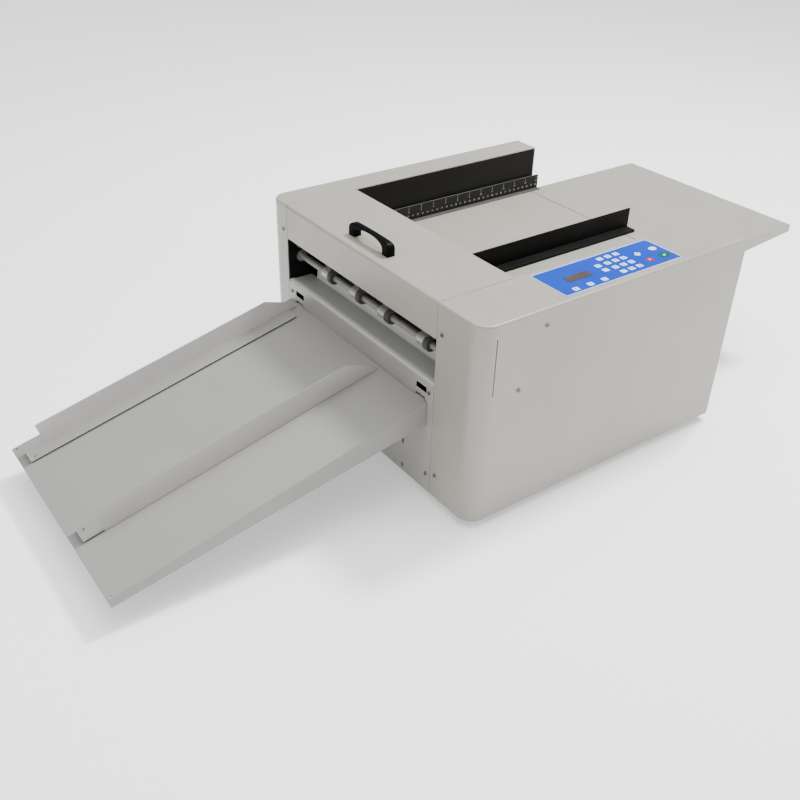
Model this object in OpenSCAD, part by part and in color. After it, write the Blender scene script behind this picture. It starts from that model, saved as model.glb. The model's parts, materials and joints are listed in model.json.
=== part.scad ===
// Sheet creasing machine: feed table, crease unit under a hinged lid, exit rollers and a hook-on exit tray.
// Lengths are millimetres. X runs across the paper, +Y towards the feed table, +Z up.

/* [Body] */
// Width of the left housing
left_w = 49; // [44:1:70]
// Clear width of the paper slot between the two housings
slot_w = 370; // [340:1:420]
// Width of the right housing that carries the control panel
right_w = 86; // [80:1:110]
// Depth of the body from front face to rear face
body_d = 488; // [460:1:540]
// Height of the body without its feet
body_h = 297; // [290:1:330]
// Radius of the upright front corners
corner_r = 24; // [12:1:36]
// Radius of the folded top edges
edge_r = 3; // [2:0.5:5]
// Thickness of the painted sheet steel
sheet = 1.5; // [1:0.1:2]
// Height of the rubber feet
foot_h = 12; // [8:1:20]

/* [Exit slot and lid] */
// Depth of the exit slot's upper edge below the top of the body
slot_drop = 52.5; // [47:0.5:59]
// Height of the exit slot
slot_h = 67.5; // [62:0.5:78]
// Depth of the lid from front to back
lid_d = 124; // [122:1:140]
// Gap round the lid and the fixed panels
fit = 0.5; // [0.3:0.1:0.8]
// Distance between the feet of the lid handle
handle_span = 80; // [70:1:110]

/* [Feed table] */
// Depth of the paper surface below the top of the body
table_drop = 73.5; // [71:0.5:75]
// Width of the rear table and the exit tray
table_w = 355; // [320:1:366]
// Length of the rear table behind the body
rear_len = 267; // [180:1:320]
// Height of the wall of the right side guide
guide_h = 36; // [24:1:44]
// Distance from the left guide to the right guide at rest
paper_w = 216; // [148:1:300]

/* [Exit tray] */
// Length of the tray along its own slope
tray_len = 465; // [300:1:520]
// Slope of the tray below level
tray_tilt = 13.5; // [8:0.5:18]
// Depth of the tray's machine end below the exit slot
tray_drop = 33; // [31:1:37]
// Height of the tray's guide walls
tray_guide_h = 35; // [25:1:45]

/* [Rollers] */
// Diameter of the drive shafts
shaft_d = 10; // [8:1:10]
// Diameter of the rubber exit rollers
exit_roller_d = 21; // [19:0.5:22]
// Diameter of the rubber rollers that carry the sheet to the crease
carry_roller_d = 25; // [24:0.5:25]
// Stroke of the crease blade
stroke = 5.5; // [4:0.1:5.5]

/* [Hidden] */
$fn = 64;
run = 0.05;
air = 0.4;
plate_t = 3;
left_d = body_d + 11;
x_l = -left_w;
x_r = slot_w + right_w;
slot_hi = body_h - slot_drop;
slot_lo = slot_hi - slot_h;
table_z = body_h - table_drop;
tray_z = slot_lo - tray_drop;
table_x = 3;
guide_x = 4;
exit_y = 24;
crease_y = 54;
carry_y = 84;
feed_y = 112;
shaft_z = table_z - 12.5;
shaft_r = shaft_d / 2;
exit_r = exit_roller_d / 2;
carry_r = carry_roller_d / 2;
feed_r = table_z + 0.4 - shaft_z;
exit_idler_z = shaft_z + 2 * exit_r + air;
carry_idler_r = 9;
carry_idler_z = shaft_z + carry_r + air + carry_idler_r;
bearing_r = 8;
cam_z = body_h - 22;
cam_base = 10.4;
cam_sweep = 150;
pad_top = cam_z - cam_base - 0.55;
anvil_top = shaft_z + exit_r - 1;
carrier_lo = anvil_top + 15.5;
carrier_hi = carrier_lo + 22;
pulley_r = 9;
belt_t = 1.5;
motor_z = slot_lo - 57;
hinge_y = lid_d - 8;
hinge_z = body_h - 8;
exit_roller_x = [88, 163, 234, 323];
hub_l = 16;
carry_roller_x = [60, slot_w / 2, slot_w - 60];
bearing_at = [[exit_y, shaft_z], [exit_y, exit_idler_z], [carry_y, shaft_z], [carry_y, carry_idler_z], [feed_y, shaft_z]];
bearing_lip = 1.2;
cam_x = [60, slot_w - 60];
post_x = [12, slot_w - 12];
plane_a = -10;
plane_b = -22;
plane_c = -34;
plane_d = slot_w + 14;
foot_x = [-20, slot_w + right_w - 29];
foot_y = [42, body_d - 42];
base_wall = 14;
cross_bar_at = [[30, 70], [body_d - 33, 30], [body_d - 33, slot_lo + 3]];
front_screw_z = [37, body_h - 41];
left_screw_x = -11;
right_screw_x = slot_w + 11.5;
side_screw_at = [[104.5, body_h - 23.5], [67, body_h - 105.5]];
panel_screw_x = [8.6, slot_w - 8.6];
panel_screw_z = [28, slot_lo - 17];
table_screw_x = [table_x + 37, table_x + table_w / 2, table_x + table_w - 37];
table_screw_z = table_z - 20;
screw_hole = 1.9;
hook_x = [table_x + 17, table_x + table_w - 26];
hook_bead = [1.63, -0.7];
slit_x = [63, slot_w - 63];
handle_x = slot_w / 2;
handle_y = 27;
handle_foot = [16, 12.5, 14.5];
handle_bar = [5, 8];
guide_y0 = 130;
guide_y1 = body_d + 20;
guide_foot = 18;
ruler_h = 25;
panel_x = slot_w + 8;
panel_y = 143;
panel_w = 68;
panel_d = 217;
panel_r = 5;
window_x = panel_x + 27;
window_y = panel_y + 31.5;
window_w = 15;
window_d = 42;
inlet_x = slot_w + 45;
inlet_z = 50;
rocker_z = inlet_z + 49;
rocker_y = body_d - 2;
separator_z = body_h - 35;
supply_y = body_d - 238;
supply_w = 62;
supply_d = 180;
supply_h = 52;
tray_guide_x = [table_x + 25.5, table_x + 248];
tray_wall_end = tray_len - 41;
tray_foot_end = tray_len - 13;
tray_reach = tray_len * cos(tray_tilt) + 1;
y_shift = (tray_reach - body_d - rear_len) / 2;
x_shift = (left_w - right_w - slot_w) / 2;
paint = [0.80, 0.79, 0.76];
tray_paint = [0.66, 0.66, 0.65];
black = [0.05, 0.05, 0.05];
steel = [0.72, 0.72, 0.72];
rubber = [0.09, 0.09, 0.08];

// Places machine coordinates (slot's left edge, front face, body underside) in the part's frame.
module mach() {
    translate([x_shift, y_shift, foot_h]) children();
}

// Extrudes a (y, z) profile from x0 to x1.
module yz(x0, x1) {
    translate([x0, 0, 0]) rotate([90, 0, 90]) linear_extrude(x1 - x0) children();
}

// Extrudes an (x, z) profile from y0 to y1.
module xz(y0, y1) {
    translate([0, y1, 0]) rotate([90, 0, 0]) linear_extrude(y1 - y0) children();
}

// Round bar along X.
module rod(x0, x1, y, z, r) {
    translate([x0, y, z]) rotate([0, 90, 0]) cylinder(h = x1 - x0, r = r);
}

// Ring along X with a bore.
module ring(x0, x1, y, z, r, bore) {
    difference() {
        rod(x0, x1, y, z, r);
        rod(x0 - 1, x1 + 1, y, z, bore);
    }
}

// Rectangle with four round corners.
module round_rect(w, d, r) {
    translate([r, 0]) square([w - 2 * r, d]);
    translate([0, r]) square([w, d - 2 * r]);
    for (x = [r, w - r]) for (y = [r, d - r]) translate([x, y]) circle(r);
}

// Plan of a housing: outer side at x = 0, open side at x = w, large front corner and square rear corner.
module housing_plan(w, d, r) {
    translate([r, 0]) square([w - r, d]);
    translate([0, r]) square([r, d - r]);
    translate([r, r]) circle(r);
}

// Housing block with folded, rounded top edges at the front and the outer side.
module housing_block(w, d, h, r, e) {
    linear_extrude(h - e) housing_plan(w, d, r);
    translate([e, e, 0]) linear_extrude(h) housing_plan(w - e, d - e, r - e);
    rod(r, w, e, h - e, e);
    translate([e, r, h - e]) rotate([-90, 0, 0]) cylinder(h = d - r, r = e);
    translate([r, r, h - e]) rotate([0, 0, 180]) rotate_extrude(angle = 90) translate([r - e, 0]) circle(e);
}

// Hollow housing, open below and towards the machine.
module housing_shell(w, d) {
    difference() {
        housing_block(w, d, body_h, corner_r, edge_r);
        translate([sheet, sheet, -1]) linear_extrude(body_h - sheet + 1)
            housing_plan(w - sheet + 1, d - 2 * sheet, corner_r - sheet);
    }
}

// Plan of the base pan, drawn in from its outline by inset and raised from z to h.
module base_plan(inset, z, h) {
    r = corner_r - 3 - inset;
    translate([x_l + 3 + inset, 4 + inset, z]) linear_extrude(h)
        round_rect(x_r - x_l - 6 - 2 * inset, body_d - 8 - 2 * inset, r);
}

module base_plate() {
    mach() color(steel) difference() {
        base_plan(0, 0, base_wall);
        base_plan(sheet, sheet, base_wall);
        for (x = foot_x) for (y = foot_y) translate([x, y, -1]) cylinder(h = 4, r = 2.6);
        for (i = [0:7]) translate([120 + i * 18, 200, -1]) cube([6, 90, 4]);
    }
}

module rubber_feet() {
    mach() color(rubber) for (x = foot_x) for (y = foot_y) translate([x, y, -foot_h]) difference() {
        union() {
            cylinder(h = foot_h, r1 = 13, r2 = 16);
            translate([0, 0, foot_h - 0.5]) cylinder(h = 3.6, r = 2.5);
        }
        translate([0, 0, -1]) cylinder(h = 6, r = 5);
    }
}

// Bearing seats, lid pivot and lightening windows shared by both side plates.
module plate_profile(d) {
    difference() {
        translate([3, sheet]) square([d - 6, body_h - 2 * sheet - 0.5]);
        translate([exit_y, shaft_z]) circle(bearing_r + run);
        translate([exit_y, exit_idler_z]) circle(bearing_r + run);
        translate([carry_y, shaft_z]) circle(bearing_r + run);
        translate([carry_y, carry_idler_z]) circle(bearing_r + run);
        translate([feed_y, shaft_z]) circle(bearing_r + run);
        translate([crease_y, cam_z]) circle(bearing_r + run);
        translate([hinge_y, hinge_z]) circle(3 + run);
        for (y = [170, 310]) translate([y, 45]) round_rect(110, 100, 14);
        square([6, base_wall + 1]);
        translate([body_d - 6, 0]) square([d - body_d + 6, base_wall + 1]);
    }
}

module left_side_plate() {
    mach() color(black) difference() {
        yz(-plate_t, 0) plate_profile(left_d);
        rod(-5, 1, carry_y, motor_z, 19.2);
    }
}

module right_side_plate() {
    mach() color(black) difference() {
        yz(slot_w, slot_w + plate_t) plate_profile(body_d);
        rod(slot_w - 1, slot_w + 5, crease_y, motor_z, 12.2);
    }
}

module cross_bars() {
    mach() color(steel) for (p = cross_bar_at) rod(0, slot_w, p[0], p[1], 7);
}

module left_cover() {
    mach() color(paint) difference() {
        translate([x_l, 0, 0]) housing_shell(left_w - 0.3, left_d);
        for (z = front_screw_z) xz(-1, 3) translate([left_screw_x, z]) circle(screw_hole);
        for (p = side_screw_at) rod(x_l - 1, x_l + 3, p[0], p[1], screw_hole);
    }
}

module right_cover() {
    mach() color(paint) difference() {
        translate([x_r, 0, 0]) mirror([1, 0, 0]) housing_shell(right_w - 0.3, body_d);
        for (z = front_screw_z) xz(-1, 3) translate([right_screw_x, z]) circle(screw_hole);
        for (p = side_screw_at) rod(x_r - 3, x_r + 1, p[0], p[1], screw_hole);
        translate([x_r - 3, 23.2, body_h - 100]) cube([6, 1.6, 80]);
        translate([window_x, window_y, body_h - 3]) cube([window_w, window_d, 6]);
        xz(body_d - 3, body_d + 1) translate([inlet_x - 14, inlet_z]) square([28, 58]);
    }
}

// Quarter-round fold of the sheet, between a front face at y = 0 and a top face at z.
module fold(r, z) {
    intersection() {
        translate([r, z - r]) difference() {
            circle(r);
            circle(r - sheet);
        }
        translate([0, z - r]) square([r, r]);
    }
}

module front_panel() {
    mach() color(paint) difference() {
        yz(fit, slot_w - fit) {
            square([sheet, slot_lo - 4]);
            translate([4, slot_lo - sheet]) square([5, sheet]);
            fold(4, slot_lo);
        }
        for (x = hook_x) xz(-1, 3) translate([x, slot_lo - 21.5]) square([23, 9.5]);
        for (x = hook_x) xz(-1, 3) translate([x, tray_z - 6]) square([20, 10.5]);
        for (x = slit_x) xz(-1, 3) translate([x - 2, 47]) round_rect(4, 15, 1.9);
        for (x = slit_x) xz(-1, 3) translate([x - 2, 4]) round_rect(4, 10, 1.9);
        for (x = panel_screw_x) for (z = panel_screw_z) xz(-1, 3) translate([x, z]) circle(screw_hole);
    }
}

module rear_panel() {
    mach() color(paint) difference() {
        xz(body_d - sheet, body_d) translate([fit, 2]) square([slot_w - 2 * fit, table_z - sheet - 4]);
        for (i = [0:11]) xz(body_d - 3, body_d + 1) translate([110 + i * 13, 60]) round_rect(5, 50, 2.4);
        for (x = table_screw_x) xz(body_d - 3, body_d + 1) translate([x, table_screw_z]) circle(screw_hole);
    }
}

// Bent plate behind the front panel's lip: a level floor, then a riser that ends at the anvil.
module exit_guide_plate() {
    t = 1.2;
    z = slot_lo - sheet;
    mach() color(steel) {
        translate([fit, 5, z - t]) cube([slot_w - 2 * fit, 36, t]);
        yz(17, slot_w - 17)
            polygon([[39.8, z - t], [41, z - t], [43.4, slot_lo + 13.8], [crease_y - 8, slot_lo + 13.8],
                [crease_y - 8, slot_lo + 15], [42.4, slot_lo + 15]]);
    }
}

module feed_table() {
    mach() color(paint) difference() {
        union() {
            translate([0, 66, table_z - sheet]) cube([slot_w, body_d - sheet - 66, sheet]);
            for (x = [0, slot_w - sheet]) translate([x, 130, table_z - 16]) cube([sheet, body_d - sheet - 130, 16]);
            translate([fit, 66, table_z - 8]) cube([slot_w - 2 * fit, sheet, 8]);
        }
        for (x = carry_roller_x) translate([x - 13, carry_y - 9, table_z - 5]) cube([26, 18, 10]);
        for (x = carry_roller_x) translate([x - 13, feed_y - 9, table_z - 5]) cube([26, 18, 10]);
    }
}

module rear_table() {
    y0 = body_d;
    mach() color(paint) difference() {
        union() {
            translate([table_x, y0, table_z - sheet]) cube([table_w, rear_len, sheet]);
            translate([table_x, y0, table_z - 32]) cube([table_w, sheet, 32]);
            for (x = [table_x, table_x + table_w - sheet]) yz(x, x + sheet)
                polygon([[y0, table_z], [y0 + rear_len, table_z], [y0 + rear_len, table_z - 12], [y0, table_z - 33]]);
            translate([table_x, y0 + rear_len - sheet, table_z - 12]) cube([table_w, sheet, 12]);
        }
        for (x = table_screw_x) xz(y0 - 1, y0 + 3) translate([x, table_screw_z]) circle(screw_hole);
    }
}

module ruler_guide() {
    mach() color(steel) {
        translate([guide_x - sheet, guide_y0, table_z]) cube([sheet, guide_y1 - guide_y0, ruler_h]);
        translate([guide_x, guide_y0, table_z]) cube([9, guide_y1 - guide_y0, sheet]);
    }
}

module ruler_strip() {
    mach() color(black) difference() {
        translate([guide_x, guide_y0, table_z + sheet + 0.2]) cube([1, guide_y1 - guide_y0, ruler_h - sheet - 0.2]);
        for (y = [guide_y0 + 15, (guide_y0 + guide_y1) / 2, guide_y1 - 6]) rod(guide_x - 1, guide_x + 3, y, table_z + 6, 1.5);
    }
}

module right_guide() {
    x = guide_x + paper_w;
    mach() color(black) {
        translate([x, guide_y0, table_z + air]) cube([sheet, guide_y1 - guide_y0, guide_h - air]);
        translate([x, guide_y0, table_z + air + 2.6]) cube([guide_foot, guide_y1 - guide_y0, sheet]);
        translate([x + guide_foot - sheet, guide_y0, table_z + air]) cube([sheet, guide_y1 - guide_y0, 2.6 + sheet]);
    }
}

module guide_magnets() {
    mach() color(steel) for (y = [guide_y0 + 40, guide_y1 - 60])
        translate([guide_x + paper_w + 10, y, table_z + air]) cylinder(h = 2.6, r = 6);
}

module lid() {
    mach() color(paint) difference() {
        union() {
            yz(fit, slot_w - fit) {
                translate([5, body_h - sheet]) square([lid_d - 5, sheet]);
                translate([0, slot_hi]) square([sheet, body_h - slot_hi - 5]);
                fold(5, body_h);
                translate([lid_d - sheet, body_h - 7]) square([sheet, 7]);
                translate([0, slot_hi]) square([7, sheet]);
            }
            for (x = [fit, slot_w - fit - sheet]) yz(x, x + sheet) translate([5, body_h - 13]) square([lid_d - 6, 12]);
        }
        rod(-1, slot_w + 1, hinge_y, hinge_z, 3 + run);
        for (s = [-1, 1]) translate([handle_x + s * handle_span / 2, handle_y, body_h - 5]) cylinder(h = 10, r = 2.2);
    }
}

module lid_handle() {
    rise = 6.5;
    bow = (handle_span * handle_span / 4 + rise * rise) / (2 * rise);
    half = asin(handle_span / 2 / bow);
    mach() color(black) difference() {
        union() {
            translate([handle_x, handle_y, body_h + 10.5 + rise - bow]) rotate([90, 0, 0]) rotate([0, 0, 90 - half])
                rotate_extrude(angle = 2 * half, $fn = 180) translate([bow - handle_bar[0] / 2, -handle_bar[1] / 2])
                    round_rect(handle_bar[0], handle_bar[1], 2);
            for (s = [-1, 1])
                translate([handle_x + s * (handle_span / 2 + 1) - handle_foot[0] / 2, handle_y - handle_foot[1] / 2, body_h])
                    linear_extrude(handle_foot[2]) round_rect(handle_foot[0], handle_foot[1], 5);
        }
        for (s = [-1, 1]) translate([handle_x + s * handle_span / 2, handle_y, body_h - 1]) cylinder(h = 11, r = 2);
    }
}

module handle_screws() {
    mach() color(steel) for (s = [-1, 1]) translate([handle_x + s * handle_span / 2, handle_y, 0]) difference() {
        union() {
            translate([0, 0, body_h - sheet - 2.4]) cylinder(h = 2.4, r = 4);
            translate([0, 0, body_h - sheet - 0.5]) cylinder(h = 9, r = 1.9);
        }
        translate([-3, -0.5, body_h - sheet - 3]) cube([6, 1, 1.5]);
        translate([-0.5, -3, body_h - sheet - 3]) cube([1, 6, 1.5]);
    }
}

module lid_hinge_pins() {
    mach() color(steel) {
        rod(-plate_t, 7, hinge_y, hinge_z, 3);
        rod(-plate_t - 2, -plate_t, hinge_y, hinge_z, 5);
        rod(slot_w - 7, slot_w + plate_t, hinge_y, hinge_z, 3);
        rod(slot_w + plate_t, slot_w + plate_t + 2, hinge_y, hinge_z, 5);
    }
}

// Flanged belt pulley centred on plane x.
module pulley(x, y, z) {
    rod(x - 4, x + 4, y, z, pulley_r);
    for (s = [-4.8, 3.8]) rod(x + s, x + s + 1, y, z, pulley_r + 2);
}

module exit_shaft() {
    mach() color(steel) {
        rod(plane_a - 6, slot_w + 6, exit_y, shaft_z, shaft_r);
        pulley(plane_a, exit_y, shaft_z);
    }
}

module exit_rollers() {
    mach() color(rubber) for (x = exit_roller_x) difference() {
        ring(x, x + 10, exit_y, shaft_z, exit_r, shaft_r);
        for (s = [-0.01, 8.6]) ring(x + s, x + s + 1.41, exit_y, shaft_z, exit_r + 1, exit_r - 0.7);
    }
}

module exit_roller_hubs() {
    mach() color([0.78, 0.77, 0.74]) for (x = exit_roller_x) difference() {
        ring(x - hub_l, x, exit_y, shaft_z, exit_r - 1.5, shaft_r);
        translate([x - hub_l / 2, exit_y, shaft_z]) cylinder(h = 20, r = 1.5);
    }
}

module exit_idler_shaft() {
    mach() color(steel) rod(-4, slot_w + 4, exit_y, exit_idler_z, shaft_r);
}

module exit_idler_rollers() {
    mach() color(rubber) for (x = exit_roller_x) ring(x - 1, x + 11, exit_y, exit_idler_z, exit_r, shaft_r);
}

module carry_shaft() {
    mach() color(steel) {
        rod(plane_c - 6, slot_w + 6, carry_y, shaft_z, shaft_r);
        for (x = [plane_a, plane_b, plane_c]) pulley(x, carry_y, shaft_z);
    }
}

module carry_rollers() {
    mach() color(rubber) for (x = carry_roller_x) ring(x - 12, x + 12, carry_y, shaft_z, carry_r, shaft_r);
}

module carry_idler_shaft() {
    mach() color(steel) rod(-4, slot_w + 4, carry_y, carry_idler_z, shaft_r);
}

module carry_idler_rollers() {
    mach() color(rubber) for (x = carry_roller_x) ring(x - 11, x + 11, carry_y, carry_idler_z, carry_idler_r, shaft_r);
}

module feed_shaft() {
    mach() color(steel) {
        rod(plane_b - 6, slot_w + 6, feed_y, shaft_z, shaft_r);
        pulley(plane_b, feed_y, shaft_z);
    }
}

module feed_rollers() {
    mach() color(rubber) for (x = carry_roller_x) ring(x - 12, x + 12, feed_y, shaft_z, feed_r, shaft_r);
}

module shaft_bearings() {
    mach() color(steel) {
        for (p = bearing_at) {
            ring(-plate_t, 1.5, p[0], p[1], bearing_r, shaft_r + run);
            ring(0, 1.5, p[0], p[1], bearing_r + bearing_lip, shaft_r + run);
            ring(slot_w - 1.5, slot_w + plate_t, p[0], p[1], bearing_r, shaft_r + run);
            ring(slot_w - 1.5, slot_w, p[0], p[1], bearing_r + bearing_lip, shaft_r + run);
        }
        ring(-plate_t - 1.5, 0, crease_y, cam_z, bearing_r, shaft_r + run);
        ring(-plate_t - 1.5, -plate_t, crease_y, cam_z, bearing_r + bearing_lip, shaft_r + run);
        ring(slot_w, slot_w + plate_t + 1.5, crease_y, cam_z, bearing_r, shaft_r + run);
        ring(slot_w + plate_t, slot_w + plate_t + 1.5, crease_y, cam_z, bearing_r + bearing_lip, shaft_r + run);
    }
}

module separator_bar() {
    mach() color(steel) difference() {
        translate([0, feed_y - 6, separator_z]) cube([slot_w, 12, 12]);
        for (x = carry_roller_x) translate([x, feed_y, separator_z - 1]) cylinder(h = 14, r = 2);
    }
}

module separator_plates() {
    mach() color([0.62, 0.60, 0.55]) for (x = carry_roller_x) yz(x - 11, x + 11)
        polygon([[feed_y + 6, separator_z + 10], [feed_y + 7.5, separator_z + 10], [feed_y + 7.5, separator_z - 12],
            [feed_y + 2, table_z + 2.4], [feed_y - 3, table_z + 2.4], [feed_y - 3, table_z + 3.4],
            [feed_y + 1, table_z + 3.4], [feed_y + 6, separator_z - 11]]);
}

module crease_anvil() {
    mach() color(steel) difference() {
        translate([0, crease_y - 8, slot_lo + 15]) cube([slot_w, 16, anvil_top - slot_lo - 15]);
        translate([18, crease_y - 0.9, anvil_top - 1]) cube([slot_w - 36, 1.8, 2]);
    }
}

module guide_posts() {
    mach() color(steel) for (x = post_x) translate([x, crease_y, anvil_top]) cylinder(h = carrier_hi - anvil_top + 4, r = 4);
}

module blade_carrier() {
    mach() color([0.55, 0.56, 0.58]) difference() {
        union() {
            translate([3, crease_y - 8, carrier_lo]) cube([slot_w - 6, 16, carrier_hi - carrier_lo]);
            for (x = cam_x) translate([x - 12, crease_y - 8, carrier_hi - 1]) cube([24, 16, pad_top - carrier_hi + 1]);
        }
        for (x = post_x) translate([x, crease_y, carrier_lo - 1]) cylinder(h = 40, r = 4 + run);
        translate([21.8, crease_y - 0.6, carrier_lo - 1]) cube([slot_w - 43.6, 1.2, 11]);
        for (i = [0:4]) translate([60 + i * (slot_w - 120) / 4, crease_y - 9, carrier_lo + 6]) rotate([-90, 0, 0]) cylinder(h = 8.4, r = 1.7);
    }
}

module crease_blade() {
    mach() color(steel) yz(22, slot_w - 22)
        polygon([[crease_y - 0.5, carrier_lo + 10], [crease_y + 0.5, carrier_lo + 10], [crease_y + 0.5, anvil_top + 6.6],
            [crease_y + 0.2, anvil_top + 6], [crease_y - 0.2, anvil_top + 6], [crease_y - 0.5, anvil_top + 6.6]]);
}

// One unbroken round wire wound as a helix between z = 0 and z = h.
module coil(h, r, w, turns, steps, sides) {
    n = turns * steps;
    ring = [for (i = [0:n]) for (j = [0:sides - 1])
        let (a = 360 * i / steps, b = 360 * j / sides, out = r + w * cos(b))
        [out * cos(a), out * sin(a), w + (h - 2 * w) * i / n + w * sin(b)]];
    walls = [for (i = [0:n - 1]) for (j = [0:sides - 1])
        let (k = (j + 1) % sides, p = i * sides, q = p + sides)
        each [[p + j, p + k, q + k], [p + j, q + k, q + j]]];
    caps = [for (j = [1:sides - 2]) each [[0, j + 1, j], [n * sides, n * sides + j, n * sides + j + 1]]];
    polyhedron(ring, concat(walls, caps));
}

module return_springs() {
    mach() color([0.5, 0.5, 0.52]) for (x = post_x) translate([x, crease_y, anvil_top + 0.1])
        coil(carrier_lo - anvil_top - 0.2, 6.2, 0.8, 3, 10, 6);
}

module cam_shaft() {
    mach() color(steel) {
        rod(-7, plane_d + 6, crease_y, cam_z, shaft_r);
        pulley(plane_d, crease_y, cam_z);
    }
}

// Constant-rise cam profile: the radius grows evenly with the angle turned.
module cam_profile() {
    rise = stroke / cam_sweep;
    climb = [for (t = [-30:6:cam_sweep + 18])
        let (r = cam_base + rise * max(t, 0)) [r * cos(270 - t), r * sin(270 - t)]];
    back = [for (t = [cam_sweep + 30:15:315])
        let (r = cam_base + stroke * (1 - (t - cam_sweep - 18) / 155)) [r * cos(270 - t), r * sin(270 - t)]];
    polygon(concat(climb, back));
}

module lift_cams() {
    mach() color([0.45, 0.46, 0.48]) for (x = cam_x) difference() {
        union() {
            yz(x - 6, x + 6) translate([crease_y, cam_z]) cam_profile();
            rod(x + 5, x + 14, crease_y, cam_z, 9);
        }
        rod(x - 10, x + 20, crease_y, cam_z, shaft_r);
    }
}

module drive_motor() {
    mach() color([0.2, 0.2, 0.21]) difference() {
        union() {
            yz(0, 6) translate([carry_y - 28, motor_z - 28]) round_rect(56, 56, 4);
            yz(5, 50) translate([carry_y - 27, motor_z - 27]) round_rect(54, 54, 8);
            yz(49, 56) translate([carry_y - 28, motor_z - 28]) round_rect(56, 56, 4);
            rod(-1.6, 1, carry_y, motor_z, 19);
        }
        rod(-5, 30, carry_y, motor_z, 3.2 + run);
    }
}

module drive_motor_shaft() {
    mach() color(steel) {
        rod(plane_c - 6, 26, carry_y, motor_z, 3.2);
        pulley(plane_c, carry_y, motor_z);
    }
}

// Belt loop round two pulleys of equal size.
module belt(x, p, q) {
    len = norm(q - p);
    yz(x - 3, x + 3) translate(p) rotate(atan2(q[1] - p[1], q[0] - p[0])) difference() {
        union() {
            circle(pulley_r + air + belt_t);
            translate([len, 0]) circle(pulley_r + air + belt_t);
            translate([0, -pulley_r - air - belt_t]) square([len, 2 * (pulley_r + air + belt_t)]);
        }
        circle(pulley_r + air);
        translate([len, 0]) circle(pulley_r + air);
        translate([0, -pulley_r - air]) square([len, 2 * (pulley_r + air)]);
    }
}

module motor_belt() {
    mach() color(rubber) belt(plane_c, [carry_y, motor_z], [carry_y, shaft_z]);
}

module exit_belt() {
    mach() color(rubber) belt(plane_a, [exit_y, shaft_z], [carry_y, shaft_z]);
}

module feed_belt() {
    mach() color(rubber) belt(plane_b, [carry_y, shaft_z], [feed_y, shaft_z]);
}

module crease_motor() {
    mach() color([0.2, 0.2, 0.21]) difference() {
        union() {
            rod(slot_w - 22, slot_w, crease_y, motor_z, 24);
            rod(slot_w - 74, slot_w - 21, crease_y, motor_z, 21);
            rod(slot_w - 80, slot_w - 73, crease_y, motor_z, 8);
            rod(slot_w - 1, slot_w + 1.6, crease_y, motor_z, 12);
        }
        rod(slot_w - 20, slot_w + 5, crease_y, motor_z, 4 + run);
    }
}

module crease_motor_shaft() {
    mach() color(steel) {
        rod(slot_w - 18, plane_d + 6, crease_y, motor_z, 4);
        pulley(plane_d, crease_y, motor_z);
    }
}

module crease_belt() {
    mach() color(rubber) belt(plane_d, [crease_y, motor_z], [crease_y, cam_z]);
}

module control_board() {
    mach() color([0.08, 0.30, 0.16]) {
        translate([panel_x + 4, panel_y + 4.5, body_h - 14]) cube([panel_w - 5, panel_d - 9, 1.6]);
        translate([window_x - 3, window_y - 3, body_h - 13]) cube([window_w + 6, window_d + 6, 13 - sheet]);
        for (x = [panel_x + 9, panel_x + panel_w - 6]) for (y = [panel_y + 10.5, panel_y + panel_d - 10.5])
            translate([x, y, body_h - 13]) cylinder(h = 13 - sheet, r = 3);
        for (y = [94.5, 134.5, 164.5]) translate([panel_x + 16, panel_y + y, body_h - 22]) cube([16, 14, 9]);
    }
}

module power_supply() {
    mach() color(steel) translate([slot_w + 10, supply_y, sheet]) difference() {
        cube([supply_w, supply_d, supply_h]);
        for (i = [0:11]) translate([10, 14 + i * (supply_d - 24) / 12, supply_h - 8.5]) cube([supply_w - 20, 6, 12]);
        translate([2, 2, 2]) cube([supply_w - 4, supply_d - 4, supply_h - 12]);
    }
}

module panel_overlay() {
    mach() color([0.16, 0.40, 0.72]) difference() {
        translate([panel_x, panel_y, body_h]) linear_extrude(0.6) round_rect(panel_w, panel_d, panel_r);
        translate([window_x, window_y, body_h - 1]) cube([window_w, window_d, 3]);
    }
}

module display_window() {
    gap = 0.3;
    mach() color([0.36, 0.30, 0.28]) translate([window_x + gap, window_y + gap, body_h - 1.5])
        cube([window_w - 2 * gap, window_d - 2 * gap, 2.4]);
}

// Mains inlet and switch frame in one moulding, set into the right cover's rear face.
module power_inlet() {
    mach() color(black) difference() {
        union() {
            xz(body_d, body_d + 3) translate([inlet_x - 25, inlet_z - 4]) round_rect(50, 66, 5);
            xz(body_d - 24, body_d + 1) translate([inlet_x - 13.5, inlet_z + 0.5]) square([27, 57]);
        }
        xz(body_d - 16, body_d + 5) translate([inlet_x, inlet_z + 2])
            polygon([[-12, 0], [12, 0], [12, 11], [8, 15.5], [-8, 15.5], [-12, 11]]);
        xz(body_d - 30, body_d + 5) for (s = [-20, 20]) translate([inlet_x + s, inlet_z + 29]) circle(1.7);
        xz(body_d - 14, body_d + 5) translate([inlet_x - 9, rocker_z - 7]) square([18, 14]);
        rod(inlet_x - 11, inlet_x + 11, rocker_y, rocker_z, 1.5 + run);
    }
    mach() color(steel) for (s = [-7, 0, 7])
        translate([inlet_x + s - 1, body_d - 17, inlet_z + (s == 0 ? 10 : 6)]) cube([2, 13, 4]);
}

// Rocker in its off position, on a cross pin.
module power_switch() {
    mach() color(black) {
        translate([0, rocker_y, rocker_z]) rotate([-9, 0, 0]) yz(inlet_x - 8.6, inlet_x + 8.6)
            polygon([[-6, -3], [-6, 3], [7.2, 5.6], [5.6, 0], [7.2, -5.6]]);
        rod(inlet_x - 10.5, inlet_x + 10.5, rocker_y, rocker_z, 1.5);
    }
}

// Tray coordinates: machine end at the origin, sheet running out along -Y below its top surface.
module tray_frame() {
    mach() translate([0, -1, tray_z]) rotate([tray_tilt, 0, 0]) children();
}

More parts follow.
